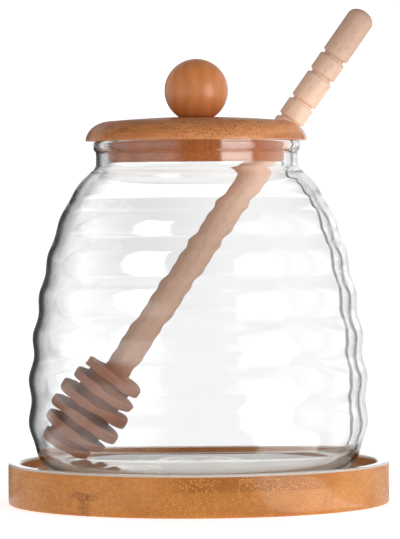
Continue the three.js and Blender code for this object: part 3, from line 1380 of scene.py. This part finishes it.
@dataclass
class Dipper(Turned):
    """Turned honey dipper: discs on a core, an even shaft, four grooves and a domed tip."""

    node = Piece.DIPPER
    name = "dipper_turned"
    slot = "dipper_wood"
    sides = 112
    length: float = 167.77 * MM
    tilt: float = 35.15
    turn: float = -5.0
    shaft: float = 4.35 * MM
    tip_dome: float = 3.3 * MM
    grooves: tuple[float, ...] = (41.5 * MM, 34.7 * MM, 24.5 * MM, 17.4 * MM)
    groove_width: float = 1.2 * MM
    groove_depth: float = 0.9 * MM
    groove_ease: float = 0.4 * MM
    disc_radii: tuple[float, ...] = tuple(size * MM for size in (8.5, 10.7, 12.1, 12.1, 10.6, 9.8))
    disc_thickness: float = 2.9 * MM
    disc_pitch: float = 5.33 * MM
    disc_ease: float = 0.4 * MM
    disc_rim: float = 0.45 * MM
    core_radius: float = 7.4 * MM
    core_fillet: float = 0.5 * MM

    def head(self, outline: Outline) -> None:
        """Adds the discs and the core between them.

        Args:
            outline: The outline, which grows.
        """
        for i, radius in enumerate(self.disc_radii):
            low = i * self.disc_pitch
            high = low + self.disc_thickness
            rim = radius - self.disc_ease
            if i > 0:
                outline.line(self.core_radius, low - self.core_fillet, 2)
                outline.line(self.core_radius + self.core_fillet, low, 3)
            outline.line(rim, low, 3)
            outline.arc((rim, low + self.disc_ease), self.disc_ease, (-90, 0), 5)
            outline.arc((rim, high - self.disc_ease), self.disc_ease, (0, 90), 5)
            foot = self.shaft if i == len(self.disc_radii) - 1 else self.core_radius
            outline.line(foot + self.core_fillet, high, 3)
            outline.line(foot, high + self.core_fillet, 3)

    def handle(self, outline: Outline) -> None:
        """Adds the shaft's grooves and the domed tip.

        Args:
            outline: The outline, which grows.
        """
        floor = self.shaft - self.groove_depth
        for from_tip in self.grooves:
            low = self.length - from_tip - self.groove_width / 2
            high = self.length - from_tip + self.groove_width / 2
            outline.line(self.shaft, low - self.groove_ease, 12)
            outline.line(self.shaft - self.groove_ease / 2, low, 3)
            outline.line(floor, low + self.groove_ease / 2, 2)
            outline.line(floor, high - self.groove_ease / 2, 2)
            outline.line(self.shaft - self.groove_ease / 2, high, 2)
            outline.line(self.shaft, high + self.groove_ease, 3)
        dome_base = self.length - self.tip_dome
        outline.line(self.shaft, dome_base, 6)
        outline.arc((0.0, dome_base), (self.shaft, self.tip_dome), (4, 90), 20)
        outline.points[-1] = (0.0, self.length)

    def outline(self) -> Outline:
        """The half section of the upright dipper.

        Returns:
            The outline, from the end of the head to the tip.
        """
        made = Outline().to(0.0, 0.0)
        self.head(made)
        self.handle(made)
        return made

    def worked(self, made: bpy.types.Object) -> bpy.types.Object:
        """The dipper leaned into the jar, with its head where the frame's is.

        Args:
            made: The upright dipper.

        Returns:
            The same dipper.
        """
        tilt, turn = math.radians(self.tilt), math.radians(self.turn)
        rims = ((i * self.disc_pitch + self.disc_rim, size) for i, size in enumerate(self.disc_radii))
        reach = min(along * math.sin(tilt) - size * math.cos(tilt) for along, size in rims)
        end = (
            self.low.x / math.cos(turn) - reach,
            0.0,
            self.low.z + (self.disc_radii[0] - self.disc_rim) * math.sin(tilt),
        )
        lean = Matrix.Translation(end) @ Matrix.Rotation(tilt, 4, "Y")
        made.data.transform(Matrix.Rotation(turn, 4, "Z") @ lean)
        return made

    def finish(self) -> TurnedWood:
        """The dipper's bare wood, with painted shade over the head deep in the jar and a painted wave
        of light and shade along the shaft.
        """
        return TurnedWood(
            name=self.slot,
            pale=(0.98, 0.68, 0.51),
            deep=(0.84, 0.55, 0.4),
            pore=(0.4, 0.22, 0.14),
            ring_pitch=3.1 * MM,
            pore_strength=0.3,
            # painted shade lower down the dipper and towards its tip, lightest near the lid
            drift_tint=(0.6, 0.565, 0.56),
            drift_peak=122 * MM,
            drift_length=88 * MM,
            # painted shade over the head, deep in the jar
            stained_end=(0.62, 0.4, 0.29),
            stain_reach=(27 * MM, 36 * MM),
            rough=0.58,
        )


# The studio


@dataclass
class Way:
    """The way that a ray leaves the pot: how far it leads to the right, back and up.

    It starts left or right of the middle by start, and distant is how fully what is far behind
    shows, from 0 to 1.
    """

    aside: Value
    ahead: Value
    up: Value
    start: float
    distant: Any

    def __post_init__(self) -> None:
        """Works out the bearing in degrees from straight behind the pot, positive to the right."""
        self.bearing = self.aside.bearing(self.ahead)


@dataclass(frozen=True)
class SoftBox:
    """A soft box far off, with edges that fade. Angles are in degrees.

    Its bearing is from straight behind the pot, positive to the right.
    """

    bearing: float
    half_width: float
    low: float
    high: float
    brightness: float
    fade: float
    fade_up: float

    def glow(self, way: Way) -> Value:
        """How much light the soft box adds.

        Args:
            way: The way that is looked.

        Returns:
            The brightness that it adds.
        """
        reach, reach_up = self.fade / 2, self.fade_up / 2
        aside = (way.bearing - self.bearing).absolute()
        beside = aside.rise(self.half_width - reach, self.half_width + reach)
        bottom = (self.low - reach, self.low + reach)
        top = (self.high - reach_up, self.high + reach_up)
        return way.up.level().band(bottom, top) * (1.0 - beside) * self.brightness


@dataclass(frozen=True)
class BackPanels:
    """White panels behind the pot, with a dark card on the left, two gaps on the right and a fold.

    The jar's edges bend light from there into the picture: the card draws the left edge, and the
    gaps draw thin lines in the right one. The fold is a faint upright shade near the middle, and a
    brighter band at the panels' foot is what the jar's floor mirrors. Angles are in degrees,
    outwards from straight back, and rises are from -1 to 1.
    """

    dark: float = 0.06
    card_near: Pair = (4.6, 12.0)
    card_far: Pair = (24.0, 50.0)
    card_rise: Pair = (0.16, 0.42)
    gaps: tuple[Pair, ...] = ((8.2, 9.2), (32.0, 38.5))
    gap_blur: float = 0.3
    fold_near: Pair = (-1.6, 1.8)
    fold_far: Pair = (2.2, 6.0)
    fold_rise: Pair = (0.004, 0.06)
    fold_dim: float = 0.16
    foot_from: Pair = (0.04, 0.08)
    foot_to: Pair = (0.085, 0.14)
    foot_ahead: Pair = (0.3, 0.7)
    foot_gain: float = 0.45

    def brightness(self, way: Way) -> Value:
        """How bright the panels are.

        Args:
            way: The way that is looked.

        Returns:
            The brightness, 1 on the plain panels.
        """
        steep = way.up.absolute()
        left = (-way.aside - way.start).bearing(way.ahead)
        right = (way.aside - way.start).bearing(way.ahead)
        foot = way.up.band(self.foot_from, self.foot_to) * way.ahead.rise(*self.foot_ahead)
        fold = (-way.bearing).band(self.fold_near, self.fold_far)
        fold = fold * (1.0 - steep.rise(*self.fold_rise)) * way.distant
        dim = left.band(self.card_near, self.card_far) * (1.0 - steep.rise(*self.card_rise))
        for low, high in self.gaps:
            dim = dim + right.band((low - self.gap_blur, low), (high, high + self.gap_blur))
        lit = dim.between(1.0, self.dark) * (1.0 - fold * self.fold_dim)
        return lit * (1.0 + foot * self.foot_gain)


@dataclass
class Studio:
    """White table, white panels and a dark card behind, two soft boxes in front, and the camera.

    Glass and gloss see the panels and boxes in the world and, mirrored, in a sheet on the table.
    Matt surfaces get a fill from all round and from the front, but for a dark zone on the left.
    Angles are in degrees, and rises are from -1 to 1.
    """

    panels: BackPanels = BackPanels()
    camera_distance: float = 1.116
    camera_height: float = 0.095
    camera_side: float = 0.8 * MM
    pitch_down: float = 1.11
    roll: float = 0.38
    focal_pixels: float = 3541.0
    long_side_pixels: float = 539.0
    sensor_width: float = 36.0
    clip: Pair = (0.05, 200.0)
    seen: float = 1.1
    fill: float = 0.46
    front_fill: float = 0.8
    front_fill_ahead: Pair = (0.2, 1.0)
    front_fill_rise: Pair = (0.3, 0.8)
    horizon: float = 1.04
    zenith: float = 0.2
    zenith_rise: Pair = (0.1, 0.85)
    front: float = 0.12
    front_above: float = 0.3
    front_rise: Pair = (0.2, 0.6)
    front_turn: Pair = (85.0, 125.0)
    left: float = 0.2
    left_from: Pair = (52.0, 68.0)
    left_to: Pair = (70.0, 84.0)
    matt_left_from: Pair = (62.0, 84.0)
    table_top: TableTop = TableTop()
    table_radius: float = 30.0
    round_sides: int = 96
    sheet_start: float = 65 * MM
    sheet_lift: float = 0.2 * MM
    pot_radius: float = 48 * MM
    fold_start: Pair = (1.0, 5.0)
    soft_boxes: tuple[SoftBox, ...] = (
        SoftBox(132.0, half_width=19.0, low=-7.0, high=9.0, brightness=6.6, fade=5.0, fade_up=44.0),
        SoftBox(-133.0, half_width=25.0, low=-14.0, high=4.0, brightness=1.8, fade=24.0, fade_up=36.0),
    )

    def build(self) -> None:
        """Sets up camera, table and lights."""
        self.camera()
        self.table()
        self.sheet()
        self.surroundings()
        bpy.context.scene.view_settings.view_transform = "Standard"

    def camera(self) -> None:
        """Sets the camera where the photograph was taken from."""
        lens = bpy.data.cameras.new("camera")
        lens.sensor_width = self.sensor_width
        lens.lens = self.focal_pixels * self.sensor_width / self.long_side_pixels
        lens.clip_start, lens.clip_end = self.clip
        made = new_object("camera", lens)
        made.location = (self.camera_side, -self.camera_distance, self.camera_height)
        level = Matrix.Rotation(math.radians(90.0 - self.pitch_down), 4, "X")
        rolled = Matrix.Rotation(math.radians(-self.roll), 4, "Z")
        made.rotation_euler = (level @ rolled).to_euler()
        bpy.context.scene.camera = made

    def table(self) -> None:
        """Lays the white table."""
        work = bmesh.new()
        sides = self.round_sides
        bmesh.ops.create_circle(work, cap_ends=True, radius=self.table_radius, segments=sides)
        mesh = new_mesh("table", work)
        mesh.materials.append(self.table_top.material())
        new_object("table", mesh)

    def around(self, way: Way) -> Value:
        """How bright the studio is: panels behind, boxes in front, dimmer between and overhead.

        Args:
            way: The way that is looked.

        Returns:
            The brightness.
        """
        front = way.up.rise(*self.front_rise).between(self.front, self.front_above)
        forward = way.bearing.absolute().rise(*self.front_turn)
        left = (-way.bearing).band(self.left_from, self.left_to)
        glow = way.up.rise(*self.zenith_rise).between(self.horizon, self.zenith)
        glow = glow * forward.between(1.0, front) * left.between(1.0, self.left)
        glow = glow * self.panels.brightness(way)
        for box in self.soft_boxes:
            glow = glow + box.glow(way)
        return glow

    def sheet(self) -> None:
        """Lays a ring on the table that shows glass and gloss what stands round the pot."""
        name = "table_sheet"
        sides = self.round_sides
        points = []
        for radius in (self.sheet_start, self.table_radius):
            for i in range(sides):
                angle = TURN * i / sides
                points.append((radius * math.cos(angle), radius * math.sin(angle), self.sheet_lift))
        faces = [(i, sides + i, sides + (i + 1) % sides, (i + 1) % sides) for i in range(sides)]
        mesh = bpy.data.meshes.new(name)
        mesh.from_pydata(points, [], faces)
        recipe = Recipe(name)
        aside, ahead, _ = recipe.parts(recipe.place())
        far = ahead.rise(*self.fold_start)
        glow = self.around(Way(aside, ahead, aside * 0.0, self.pot_radius, far))
        lit = {"Emission_Color": recipe.vector(glow, glow, glow), "Emission_Strength": 1.0}
        recipe.surface(Base_Color=BLACK, Specular_IOR_Level=0.0, **lit)
        mesh.materials.append(recipe.material)
        made = new_object(name, mesh)
        made.visible_camera = made.visible_diffuse = made.visible_shadow = False

    def surroundings(self) -> None:
        """Lights the world round the table, which looks plain white straight from the camera."""
        world = bpy.data.worlds.new("studio")
        world.use_nodes = True
        bpy.context.scene.world = world
        world.node_tree.nodes.clear()
        bench = Bench(world.node_tree)
        leads = bench.parts(bench.node("ShaderNodeTexCoord").outputs["Generated"])
        way = Way(*leads, 0.0, 1.0)
        glow = self.around(way)
        ray = bench.node("ShaderNodeLightPath").outputs
        looked_at = Value(bench, ray["Is Camera Ray"])
        matt = Value(bench, ray["Is Diffuse Ray"])
        level = 1.0 - way.up.absolute().rise(*self.front_fill_rise)
        facing = (-way.ahead).rise(*self.front_fill_ahead) * level
        flank = (-way.bearing).band(self.matt_left_from, self.front_turn)
        strength = looked_at.between(glow, self.seen) * (1.0 + matt * self.fill)
        strength = strength + matt * facing * self.front_fill
        strength = strength * (matt * flank).between(1.0, self.left)
        light = bench.node("ShaderNodeBackground", {}, {"Color": WHITE, "Strength": strength})
        bench.node("ShaderNodeOutputWorld", {}, {"Surface": light.outputs[0]})


def main() -> None:
    """Loads the frame, makes the pieces in order and sets up the studio."""
    logging.basicConfig(level=logging.INFO, format="%(name)s: %(message)s")
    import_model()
    lathe = Lathe()
    for maker in (Tray, Jar, Lid, Knob, Dipper):
        piece = maker(lathe).build()
        log.info("%s has %d faces", piece.name, len(piece.data.polygons))
    Studio().build()


if __name__ == "__main__":
    main()
